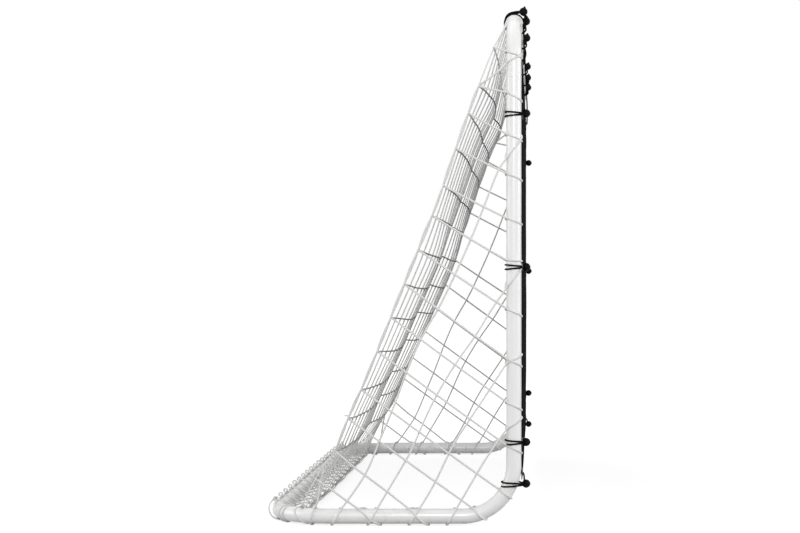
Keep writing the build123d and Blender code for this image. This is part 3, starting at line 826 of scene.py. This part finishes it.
class RebounderMakeNet(bpy.types.Operator):
    """Make the net's cords, hooks, hem, lacing and knots"""

    bl_idname = "rebounder.make_net"
    bl_label = "Make Net"

    def execute(self, context):
        settings = context.scene.rebounder_net
        d = settings.cord_diameter
        r = d / 2
        xs, rows = knot_grid(settings)
        rng = random.Random(CORD_SEED)
        upper, lower = [], []
        for i, x in enumerate(xs):
            column = [row[i] for row in rows]
            upper.append(over_crossbar(x, r) + column[: FOLD + 1])
            lower.append(column[FOLD:] + [hem_place(x)])
        upper += rows[: FOLD + 1]
        lower += rows[FOLD + 1:]
        for side in (-1, 1):
            upper += edge_cords(side, rng)
        # A cut end that stands out behind the left edge
        tail = behind(-EDGE_X, edge_behind(TAIL_HEIGHT), TAIL_HEIGHT)
        upper.append([tail, tail + Vector((-0.002, 0.008, 0.004)), tail + Vector((-0.003, 0.015, 0.002))])
        turns, ties = lacing(xs, r, rng)
        for side in (-1, 1):
            turns += corner_loops(side, r)
        for name, cords, thickness, steps, replaced in (
            ("back_net_cords_upper", upper, d, 3, ["back_net_upper"]),
            ("back_net_cords_lower", lower, d * LOWER_CORD, 4, ["back_net_lower"]),
            ("rear_hem_bunch", hem_bunch(), d * HEM_CORD, 3, ()),
            ("rear_bar_lacing", turns, d * LACING_CORD, 4, ["net_lacing"]),
        ):
            add_piece(name, cord_mesh(cords, thickness, steps=steps), "net_cord", replaced)

        places = []
        for number, row in enumerate(rows):
            size = Matrix.Scale(1.0 if number <= FOLD else LOWER_CORD, 4)
            for a, b in zip(row, row[1:]):
                turn = (b - a).to_track_quat("X", "Z").to_matrix().to_4x4()
                places.append(Matrix.Translation(a) @ turn @ size)
        places += [Matrix.Translation(tie) for tie in ties]
        for side_name, side in SIDES.items():
            paths, knots = side_strands(side, r)
            name, mesh = f"side_net_{side_name}", cord_mesh(paths, d * SIDE_CORD, bevel=2)
            add_piece(f"{name}_cords", mesh, "net_cord", [name])
            lean = Matrix.Rotation(radians(-35), 4, "X") @ Matrix.Rotation(radians(90), 4, "Z")
            places += [Matrix.Translation(knot) @ lean for knot in knots]
        mesh = scatter(bead(8, 5, d * 0.66, (1.35, 0.8, 0.95)), places)
        add_piece("net_knots", mesh, "net_knot")
        return {"FINISHED"}


# --- Rebound sheet ------------------------------------------------------------
EYELET_PLACES = [(side, z) for side in (-1, 1) for z in (0.168, 0.270, 0.848, 1.353, 1.521)]
FOLDS_PER_TURN = 7  # ripples round one eyelet
CLOTH_STEP, CLOTH_THICKNESS, WEBBING_THICKNESS = 0.02, 0.0009, 0.0014
HEM_LIFT, STITCH_LIFT = 0.00125, 0.0020  # in front of the cloth's middle plane
STITCH_INSET = 0.004
THREAD_LENGTH, THREAD_WIDTH = 0.62, 0.0011  # the length is a share of one stitch
STILL_EDGE, EDGE_SHARE = 0.12, 0.15  # ripples shrink this near the edge, to this share of their height


def ripple(x, z):
    """How far the stretched sheet stands out at one place.

    Folds run out from each eyelet and die away. A slow wave lies over the whole sheet.
    """
    value = 0.0
    for side, tie_z in EYELET_PLACES:
        dx, dz = EYELET_X - side * x, z - tie_z
        away = hypot(dx, dz)
        value += 0.0035 * exp(-away / 0.20) * min(1.0, away / 0.05) * cos(atan2(dz, dx) * FOLDS_PER_TURN)
    value += 0.0025 * sin(x * 5.1 + 1.3) * sin(z * 6.3 + 0.4)
    edge = min(SHEET_HIGH.x - abs(x), z - SHEET_LOW.z, SHEET_HIGH.z - z, STILL_EDGE) / STILL_EDGE
    return value * max(edge, EDGE_SHARE)


def sheet_y(scene):
    """The sheet's middle plane."""
    return (SHEET_LOW.y + SHEET_HIGH.y) / 2 - scene.rebounder_sheet.forward


def cloth_panel(low, high, y):
    """A cloth panel facing the mouth, from a grid, with its ripples."""
    shape = bmesh.new()
    wide, tall = high[0] - low[0], high[1] - low[1]
    across, up = (max(2, round(size / CLOTH_STEP)) for size in (wide, tall))
    bmesh.ops.create_grid(shape, x_segments=across, y_segments=up, size=0.5)
    size = Matrix.Diagonal((wide, tall, 1, 1))
    centre = Matrix.Translation(((low[0] + high[0]) / 2, 0, (low[1] + high[1]) / 2))
    bmesh.ops.transform(shape, matrix=centre @ FACING @ size, verts=shape.verts)
    for vertex in shape.verts:
        vertex.co.y = y + ripple(vertex.co.x, vertex.co.z)
    return to_mesh(shape)


def thicken(piece, thickness):
    """Give cloth its thickness, half to each side."""
    solid = piece.modifiers.new("thickness", "SOLIDIFY")
    solid.thickness = thickness
    solid.offset = 0.0
    return piece


def stitch_places(lines, pitch, y):
    """The place of each stitch along straight seams."""
    places = []
    for (xa, za), (xb, zb) in lines:
        count = int(hypot(xb - xa, zb - za) / pitch)
        turn = Matrix.Rotation(0 if abs(zb - za) < SAME_PLACE else radians(-90), 4, "Y")
        for k in range(count):
            t = (k + 0.5) / count
            x, z = xa + (xb - xa) * t, za + (zb - za) * t
            places.append(Matrix.Translation((x, y + ripple(x, z), z)) @ turn)
    return places


class RebounderMakeSheet(bpy.types.Operator):
    """Make the stretched rebound sheet, its hems and their stitching"""

    bl_idname = "rebounder.make_sheet"
    bl_label = "Make Rebound Sheet"

    def execute(self, context):
        settings = context.scene.rebounder_sheet
        y = sheet_y(context.scene)
        x1, z0, z1 = SHEET_HIGH.x, SHEET_LOW.z, SHEET_HIGH.z
        mesh = cloth_panel((-x1, z0), (x1, z1), y)
        sheet = add_piece("rebound_sheet_cloth", mesh, "mesh_fabric", ["rebound_sheet"])
        thicken(sheet, CLOTH_THICKNESS)
        wide, narrow, inset = settings.hem_width, settings.narrow_hem, STITCH_INSET
        for name, low, high in (
            ("side_hem_left", (-x1, z0), (-x1 + wide, z1)),
            ("side_hem_right", (x1 - wide, z0), (x1, z1)),
            ("top_hem", (-x1 + wide, z1 - narrow), (x1 - wide, z1)),
            ("bottom_hem", (-x1 + wide, z0), (x1 - wide, z0 + narrow)),
        ):
            mesh = cloth_panel(low, high, y - HEM_LIFT)
            hem = add_piece(f"{name}_webbing", mesh, "webbing", [name])
            thicken(hem, WEBBING_THICKNESS)
        lines = []
        for side in (-1, 1):
            for x in (x1 - inset, x1 - wide + inset, x1 - 0.5 * wide):
                lines.append(((side * x, z0 + inset), (side * x, z1 - inset)))
        for z in (z1 - inset, z1 - narrow + inset, z0 + inset, z0 + narrow - inset):
            lines.append(((-x1 + wide, z), (x1 - wide, z)))
        thread = (settings.stitch * THREAD_LENGTH * 1.08, THREAD_WIDTH, THREAD_WIDTH * 0.8)
        mesh = scatter(bead(6, 4, 0.5, thread), stitch_places(lines, settings.stitch, y - STITCH_LIFT))
        add_piece("hem_stitching", mesh, "thread")
        return {"FINISHED"}


def eyelet_shape(shape):
    """A pressed eyelet: a rolled rim in front, a barrel, and a flat rim behind. Its axis is Z, front up."""
    spin_profile(shape, (
        (0.0068, -0.0034), (0.0125, -0.0034), (0.0130, -0.0029), (0.0125, -0.0025), (0.0078, -0.0025),
        (0.0078, 0.0012), (0.0126, 0.0012), (0.0134, 0.0019), (0.0130, 0.0030), (0.0113, 0.0037),
        (0.0092, 0.0036), (0.0074, 0.0026), (0.0067, 0.0012),
    ), 32)


class RebounderMakeEyelets(bpy.types.Operator):
    """Make the sheet's pressed metal eyelets"""

    bl_idname = "rebounder.make_eyelets"
    bl_label = "Make Eyelets"

    def execute(self, context):
        y = sheet_y(context.scene)
        places = [Matrix.Translation((side * EYELET_X, y, z)) @ FACING for side, z in EYELET_PLACES]
        mesh = scatter(eyelet_shape, places)
        add_piece("eyelets_pressed", mesh, "eyelet_metal", ["eyelets"])
        return {"FINISHED"}


# --- Ties ---------------------------------------------------------------------
TIE_HEIGHTS = (0.1315, 0.270, 0.848, 1.353)
# How far each ball sits above its tie's height, from the lowest up
BALL_SHIFTS = {"left": (-0.0032, -0.0034, 0.0006, 0.0064), "right": (0.0080, 0.0126, -0.0021, -0.0084)}
LINK_Z = EYELET_PLACES[0][1]  # the lowest eyelet, linked to the lowest ball
BALL_Y = POST_Y - 0.0404
BALL_BORE = 0.0036
BALL_KNOT, LINK_KNOT, TOP_KNOT = 0.0040, 0.0052, 0.0058
TIE_PITCH, CORNER_TIE_X = 0.405, 1.047  # along the crossbar
STACKED = 0.065  # how much further from the bar one leg of a corner tie goes, where the legs cross
TOP_CORD_Z, TOP_EYELET_Z = 1.660, SHEET_HIGH.z - 0.022
TOP_CORD_SAG = 0.004

# Crossbar ties: the ball's place as (behind, above) the bar's middle, the way its knot points, and a leg's
# route from the ball round the bar, as (behind, above, aside)
FRONT_TIE = ((-0.0395, 0.0), (0.0, -0.22, 1.0), (
    (-0.0395, -0.020, 0.003), (-0.036, -0.029, 0.0045), (-0.018, -0.033, 0.0045), (0.012, -0.032, 0.0045),
    (0.033, -0.014, 0.0045), (0.034, 0.014, 0.0045), (0.016, 0.032, 0.0045), (-0.012, 0.032, 0.0045),
    (-0.028, 0.018, 0.008), (-0.0335, -0.004, 0.010), (-0.037, -0.0165, 0.0),
))
TURNED_TIE = ((-0.010, 0.0435), (0.35, 0, 1.0), (
    (-0.026, 0.036, 0.003), (-0.036, 0.012, 0.004), (-0.033, -0.014, 0.0045), (-0.016, -0.031, 0.0045),
    (0.014, -0.031, 0.0045), (0.033, -0.012, 0.0045), (0.033, 0.016, 0.0045), (0.018, 0.032, 0.005),
    (0.000, 0.031, 0.008), (-0.014, 0.029, 0.006), (-0.020, 0.0285, 0.0),
))
CORNER_TIE = ((-0.0310, 0.0360), (0.0, -0.25, 1.0), (
    (-0.037, 0.022, 0.003), (-0.0375, 0.004, 0.0032), (-0.034, -0.018, 0.0032), (-0.014, -0.032, 0.0032),
    (0.014, -0.030, 0.0032), (0.029, -0.008, 0.0032), (0.0285, 0.012, 0.0032), (0.018, 0.0275, 0.0032),
    (-0.002, 0.0325, 0.0032), (-0.014, 0.0335, 0.0034), (-0.020, 0.0335, 0.0),
))
# How far each ball between the corners is raised, from the left. One tie has turned over the bar
BALL_RAISED = (0.0087, 0.0076, 0.0, 0.0019, 0.0027, 0.0043)
TURNED_COUNT = 2


def ball_shape(radius):
    """A maker of a moulded ball with a through bore along Z and a faint parting line."""
    def make(shape):
        count = 14
        start = radians(90) - BALL_BORE * 1.35 / radius
        profile = []
        for i in range(count + 1):
            a = start - 2 * start * i / count
            reach = radius * (1.012 if i == count // 2 else 1.0)
            profile.append((reach * cos(a), reach * sin(a)))
        top = profile[0][1]
        rim = [(BALL_BORE, top - 0.0016), (BALL_BORE * 1.12, top - 0.0003)]
        spin_profile(shape, rim + profile + [(across, -above) for across, above in reversed(rim)], 28)
    return make


def overhand_knot(centre, axis, size):
    """The route of a pulled-tight overhand knot."""
    axis, aside = Vector(axis).normalized(), Vector((1, 0, 0))
    third = axis.cross(aside)
    route = []
    for i in range(11):
        a = 2 * pi * i / 10 * 1.5
        reach = size * (0.62 + 0.25 * cos(a * 2 / 1.5))
        flat = Vector(centre) + aside * reach * cos(a) + third * reach * sin(a)
        route.append(flat + axis * size * 0.35 * sin(a * 1.9))
    return route


def post_tie(side, z, shift, wrap):
    """The route of one tie: each leg goes from the ball round the post and back to the eyelet."""
    drop = max(RAIL_Z + FRONT_BEND - z, 0.0)
    lean = FRONT_BEND - sqrt(FRONT_BEND**2 - drop**2)
    legs = []
    for hand in (1, -1):
        route = (
            (EYELET_X + 0.001, -0.0425, shift + hand * 0.0020),
            (EYELET_X + 0.006, -0.0330, shift * 0.8 + hand * 0.0024),
            (EYELET_X + 0.020, -0.0315, shift * 0.5 + hand * 0.0026),
            (POST_X + 0.008, -0.0300, shift * 0.2 + hand * 0.0027),
            (POST_X + 0.021, -0.0215, hand * 0.0030),
            (POST_X + wrap, -0.0040, hand * 0.0046),
            (POST_X + wrap - 0.001, 0.0140 + lean, hand * 0.0061),
            (POST_X + 0.018, wrap - 0.0030 + lean, hand * 0.0072),
            (POST_X, wrap + 0.0010 + lean, hand * 0.0074),
            (POST_X - 0.020, wrap - 0.0050 + lean, hand * 0.0070),
            (POST_X - wrap, 0.0020 + lean * 0.5, hand * 0.0055),
            (POST_X - wrap - 0.006, -0.0180, hand * 0.0040),
            (EYELET_X, -0.0265, shift + hand * 0.0030),
        )
        legs.append([Vector((side * across, POST_Y + back, z + above)) for across, back, above in route])
    return legs[0] + [Vector((side * EYELET_X, POST_Y - 0.0310, z + shift))] + legs[1][::-1]


def bar_tie(x, radius, ball, stub, route, raised=0.0, stacked=0.0):
    """A crossbar tie at x: its ball's place, and its cords."""
    centre = Vector((x, POST_Y + ball[0], CROSSBAR_Z + (ball[1] + raised)))
    way = Vector(stub)
    legs = []
    for hand in (1, -1):
        grow = 1.0 + stacked * (0.35 - hand)
        legs.append([
            Vector((x + hand * aside, POST_Y + back * grow, CROSSBAR_Z + above * grow))
            for back, above, aside in route
        ])
    tip = centre + way.normalized() * radius
    cords = [
        legs[0] + legs[1][::-1],
        overhand_knot(tip - way * 0.0015, stub, BALL_KNOT),
        [tip, tip + way * 0.0015, tip + way * 0.003 + Vector((0.001, 0, 0))],
    ]
    enter = centre - way.normalized() * radius * 0.8
    back, above, aside = route[0]
    for hand in (1, -1):
        first = Vector((x + hand * aside, POST_Y + back, CROSSBAR_Z + above))
        cords.append([enter + Vector((hand * 0.002, 0, 0)), enter.lerp(first, 0.5), first])
    return Matrix.Translation(centre) @ way.to_track_quat("Z", "X").to_matrix().to_4x4(), cords


def top_cord(front, tied):
    """The cord above the sheet, from behind one top eyelet to behind the other, and its two knots."""
    y, z, eye_z = POST_Y - 0.031, TOP_CORD_Z, TOP_EYELET_Z
    route = [
        (-EYELET_X, front + 0.014, eye_z), (-EYELET_X, front - 0.002, eye_z),
        (-EYELET_X, front - 0.003, eye_z + 0.010), (-EYELET_X + 0.001, y - 0.003, z - 0.05),
        (-EYELET_X + 0.003, y, z - 0.006), (-EYELET_X + 0.020, y, z),
    ]
    end = [(-across, behind_posts, height) for across, behind_posts, height in reversed(route)]
    for a, b in zip(tied, tied[1:]):
        route += [(a, y, z), ((a + b) / 2, y, z - TOP_CORD_SAG)]
    route += [(tied[-1], y, z), *end]
    knots = [overhand_knot((side * EYELET_X, front + 0.014, eye_z), BACK, TOP_KNOT) for side in (-1, 1)]
    return [route, *knots]


class RebounderMakeTies(bpy.types.Operator):
    """Make the ball ties on the posts and the crossbar, and the cord above the sheet"""

    bl_idname = "rebounder.make_ties"
    bl_label = "Make Ties"

    def execute(self, context):
        settings = context.scene.rebounder_ties
        radius, cord = settings.ball_diameter / 2, settings.cord_diameter
        front = sheet_y(context.scene) - 0.0042
        wrap = TUBE_R + 0.0008 + cord / 2
        ties = {}
        for name, side in SIDES.items():
            balls, cords = [], []
            for z, shift in zip(TIE_HEIGHTS, BALL_SHIFTS[name]):
                ball = Vector((side * EYELET_X, BALL_Y, z + shift))
                balls.append(Matrix.Translation(ball) @ FACING)
                cords.append(post_tie(side, z, shift, wrap))
                cords.append(overhand_knot(ball + Vector((0, 0.0030 - radius, 0)), (0, -1, 0), BALL_KNOT))
            x = side * EYELET_X
            cords.append([
                balls[0].translation + Vector((0, 0.006, 0.010)), (x, front - 0.004, LINK_Z - 0.008),
                (x, front + 0.004, LINK_Z), (x, front + 0.013, LINK_Z),
            ])
            cords.append(overhand_knot((x, front + 0.013, LINK_Z), BACK, LINK_KNOT))
            ties[name] = balls, cords
        balls, cords = ties["top"] = [], []
        tied = [(count - 2.5) * TIE_PITCH for count in range(len(BALL_RAISED))]
        placed = []
        for count, (x, raised) in enumerate(zip(tied, BALL_RAISED)):
            shape = TURNED_TIE if count == TURNED_COUNT else FRONT_TIE
            placed.append(bar_tie(x, radius, *shape, raised=raised))
        placed += [bar_tie(side * CORNER_TIE_X, radius, *CORNER_TIE, stacked=STACKED) for side in (-1, 1)]
        for ball, routes in placed:
            balls.append(ball)
            cords += routes
        for name, (balls, cords) in ties.items():
            mesh = cord_mesh(cords, cord, bevel=2)
            add_piece(f"tie_cords_{name}_braided", mesh, "elastic", [f"tie_cords_{name}"])
            mesh = scatter(ball_shape(radius), balls)
            add_piece(f"tie_balls_{name}_moulded", mesh, "ball", [f"tie_balls_{name}"])
        mesh = cord_mesh(top_cord(front, tied), settings.top_cord_diameter, bevel=2, steps=6)
        add_piece("top_cord_braided", mesh, "elastic", ["top_cord"])
        return {"FINISHED"}


# --- Snap buttons' springs, and finishes of the CAD pieces --------------------
SPRING_REACH = 0.075  # from a button's middle to past the far end of its spring


class RebounderPaintFrame(bpy.types.Operator):
    """Give the tubes and snap buttons their finishes"""

    bl_idname = "rebounder.paint_frame"
    bl_label = "Paint Frame"

    def execute(self, context):
        finishes = {"frame_paint": "paint", "button_steel": "button_steel"}
        for part in frame["record"]["subparts"]:
            if part["material_slot"] in finishes and part["node"] in nodes:
                mesh = nodes[part["node"]].data
                mesh.materials.clear()
                mesh.materials.append(materials[finishes[part["material_slot"]]])
        return {"FINISHED"}


class RebounderMakeSprings(bpy.types.Operator):
    """Make the leaf springs, one still piece for each snap button. The real springs flatten as their buttons go
    in.
    """

    bl_idname = "rebounder.make_springs"
    bl_label = "Make Springs"

    def execute(self, context):
        strips = bmesh.new()
        strips.from_mesh(nodes["button_springs"].data)
        bmesh.ops.remove_doubles(strips, verts=strips.verts, dist=SAME_PLACE)
        for joint in frame["joints"]:
            place = joint["name"].removeprefix("press_")
            low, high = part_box(f"snap_button_{place}")
            button, pressed = (low + high) / 2, Vector(joint["axis"]).normalized()
            shape = strips.copy()
            far = [v for v in shape.verts if (v.co - button).length > SPRING_REACH]
            bmesh.ops.delete(shape, geom=far, context="VERTS")
            piece = add_piece(
                f"spring_{place}", to_mesh(shape), "spring_steel", ["button_springs"],
                smooth=False,
            )
            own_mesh(piece)
        strips.free()
        return {"FINISHED"}


class RebounderMakeMaterials(bpy.types.Operator):
    """Make the finishes used by every piece"""

    bl_idname = "rebounder.make_materials"
    bl_label = "Make Materials"

    def execute(self, context):
        scene = context.scene
        net, black = tuple(scene.rebounder_net.colour), (0.006, 0.006, 0.006)
        # The net's second colour is painted shade for the hollows between the plies of its cord and knots
        net_hollow_shade = shade(net, 0.84)
        materials.update(
            paint=paint_material(scene.rebounder_frame),
            net_cord=cord_material("net_cord_laid", net, net_hollow_shade, 0.011, 3),
            net_knot=cord_material("net_cord_knots", net, net_hollow_shade, 0.004, 2),
            # The braid's two colours are painted light and painted shade: a lit copy and a shaded copy of black
            elastic=cord_material(
                "black_braid", shade(black, 2.2), shade(black, 0.5), 0.006, 6,
                fleck=0.06, specular=0.0, depth=0.0004,
            ),
            mesh_fabric=mesh_fabric_material(tuple(scene.rebounder_sheet.colour)),
            # The webbing and the thread carry painted light on their raised ribs
            webbing=webbing_material("black_webbing", (0.007, 0.007, 0.0075)),
            thread=webbing_material("black_thread", (0.015, 0.015, 0.016)),
            ball=moulded_plastic_material(),
            eyelet_metal=metal_material("blackened_brass", (0.20, 0.19, 0.18), 0.34, (0.08, 0.075, 0.07)),
            button_steel=metal_material("zinc_plate", (0.62, 0.62, 0.60), 0.30, (0.42, 0.42, 0.40)),
            spring_steel=metal_material("spring_steel", (0.30, 0.30, 0.31), 0.42, (0.16, 0.15, 0.14)),
        )
        return {"FINISHED"}


# --- Stage --------------------------------------------------------------------
FLOOR_Z = -0.0062  # just under the lowest cord
FLOOR_GREY = (0.40, 0.40, 0.40)
# How strongly the floor glows, from near the object to far from it
FLOOR_GLOW = {"From_Min": 0.8, "From_Max": 2.4, "To_Min": 0.76, "To_Max": 1.0}
# Lamps: name, place, what each points at, size, and the setting that holds its power
LAMPS = (
    ("key", (-6.3, -0.45, 2.5), (-1.1, 0.0, 0.8), 1.8, "key_power"),
    ("top", (-0.6, 0.2, 4.4), (0.0, 0.1, 0.5), 3.0, "top_power"),
    ("front_side", (-1.4, -5.2, 1.9), (-0.6, 0.0, 0.8), 3.0, "side_power"),
    ("back_side", (-1.4, 5.2, 1.9), (-0.6, 0.0, 0.8), 3.0, "side_power"),
)
LENS, SENSOR, SHIFT_X, SHIFT_Y = 79.14, 36.0, -0.16875, 0.015875
CAMERA_Y = POST_Y - 0.070


def seen_as(tree, other_rays, seen, output):
    """Send one shader to the camera, reflections and glass, and another to all other rays."""
    path = tree.nodes.new("ShaderNodeLightPath")
    share = path.outputs["Is Camera Ray"]
    for ray, label in (("Is Glossy Ray", "camera or reflection"), ("Is Transmission Ray", "or glass")):
        either = tree.nodes.new("ShaderNodeMath")
        either.operation, either.label = "MAXIMUM", label
        tree.links.new(share, either.inputs[0])
        tree.links.new(path.outputs[ray], either.inputs[1])
        share = either.outputs[0]
    mix = tree.nodes.new("ShaderNodeMixShader")
    for value, socket in zip((share, other_rays, seen), mix.inputs):
        tree.links.new(value, socket)
    tree.links.new(mix.outputs[0], output.inputs[0])


def floor_material():
    """A pale floor that keeps the object's shadow near it, and is plain white further away."""
    floor = Finish("pale_floor", FLOOR_GREY, 1.0)
    tree = floor.tree
    tree.nodes.clear()
    away = floor.add("ShaderNodeVectorMath", operation="LENGTH")
    tree.links.new(floor.place(), away.inputs[0])
    diffuse, glow = floor.add("ShaderNodeBsdfDiffuse"), floor.add("ShaderNodeEmission")
    floor.give(diffuse, Color=FLOOR_GREY)
    floor.give(glow, Strength=floor.scaled(away.outputs["Value"], smooth=True, **FLOOR_GLOW))
    both = floor.add("ShaderNodeAddShader")
    for shader, socket in zip((diffuse, glow), both.inputs):
        tree.links.new(shader.outputs[0], socket)
    seen_as(tree, diffuse.outputs[0], both.outputs[0], floor.add("ShaderNodeOutputMaterial"))
    return floor.material


def place_object(scene, name, data, place):
    """Link an object to the scene at its place."""
    holder = bpy.data.objects.new(name, data)
    holder.location = place
    scene.collection.objects.link(holder)
    return holder


class RebounderMakeStage(bpy.types.Operator):
    """Make the floor, the lamps, the world and the camera"""

    bl_idname = "rebounder.make_stage"
    bl_label = "Make Stage"

    def execute(self, context):
        scene = context.scene
        settings = scene.rebounder_stage
        scene.view_settings.view_transform = "Standard"
        scene.world = bpy.data.worlds.new("studio")
        scene.world.use_nodes = True
        tree = scene.world.node_tree
        tree.nodes.clear()
        ambient, white = tree.nodes.new("ShaderNodeBackground"), tree.nodes.new("ShaderNodeBackground")
        ambient.inputs[1].default_value = settings.ambient
        ambient.inputs[0].default_value = white.inputs[0].default_value = (1, 1, 1, 1)
        seen_as(tree, ambient.outputs[0], white.outputs[0], tree.nodes.new("ShaderNodeOutputWorld"))

        shape = bmesh.new()
        bmesh.ops.create_grid(shape, x_segments=2, y_segments=2, size=30)
        bmesh.ops.translate(shape, vec=(0, 0, FLOOR_Z), verts=shape.verts)
        floor = place_object(scene, "floor", to_mesh(shape, "floor"), (0, 0, 0))
        floor.data.materials.append(floor_material())

        for name, place, aim, size, power in LAMPS:
            lamp = bpy.data.lights.new(name, "AREA")
            lamp.size = size
            lamp.energy = getattr(settings, power)
            holder = place_object(scene, name, lamp, place)
            holder.rotation_euler = (Vector(aim) - Vector(place)).to_track_quat("-Z", "Y").to_euler()

        camera = bpy.data.cameras.new("side_view")
        camera.sensor_width, camera.lens, camera.clip_end = SENSOR, LENS, 100
        camera.shift_x, camera.shift_y = SHIFT_X, SHIFT_Y
        place = (-POST_X - settings.camera_distance, CAMERA_Y, settings.camera_height)
        scene.camera = place_object(scene, "side_view", camera, place)
        scene.camera.rotation_euler = (radians(90), 0, radians(-90))
        return {"FINISHED"}


# --- Panel and registration ---------------------------------------------------
STEPS = (
    RebounderMakeMaterials, RebounderPaintFrame, RebounderMakeSprings, RebounderMakeNet, RebounderMakeTies,
    RebounderMakeSheet, RebounderMakeEyelets, RebounderMakeStage,
)
SETTINGS = {
    "rebounder_frame": RebounderFrameSettings,
    "rebounder_net": RebounderNetSettings,
    "rebounder_sheet": RebounderSheetSettings,
    "rebounder_ties": RebounderTieSettings,
    "rebounder_stage": RebounderStageSettings,
}


class RebounderPanel(bpy.types.Panel):
    """Lists the rebounder's steps and settings"""

    bl_idname = "VIEW3D_PT_rebounder"
    bl_label = "Rebounder"
    bl_space_type = "VIEW_3D"
    bl_region_type = "UI"
    bl_category = "Rebounder"

    def draw(self, context):
        for step in STEPS:
            self.layout.operator(step.bl_idname)
        for name in SETTINGS:
            settings = getattr(context.scene, name)
            box = self.layout.box()
            for key in settings.__annotations__:
                box.prop(settings, key)


def register():
    for kind in (*SETTINGS.values(), *STEPS, RebounderPanel):
        bpy.utils.register_class(kind)
    for name, kind in SETTINGS.items():
        setattr(bpy.types.Scene, name, bpy.props.PointerProperty(type=kind))


def unregister():
    for name in SETTINGS:
        delattr(bpy.types.Scene, name)
    for kind in (RebounderPanel, *reversed(STEPS), *reversed(SETTINGS.values())):
        bpy.utils.unregister_class(kind)


def main():
    """Make every piece."""
    register()
    for step in STEPS:
        area, name = step.bl_idname.split(".")
        getattr(getattr(bpy.ops, area), name)()


if __name__ == "__main__":
    main()
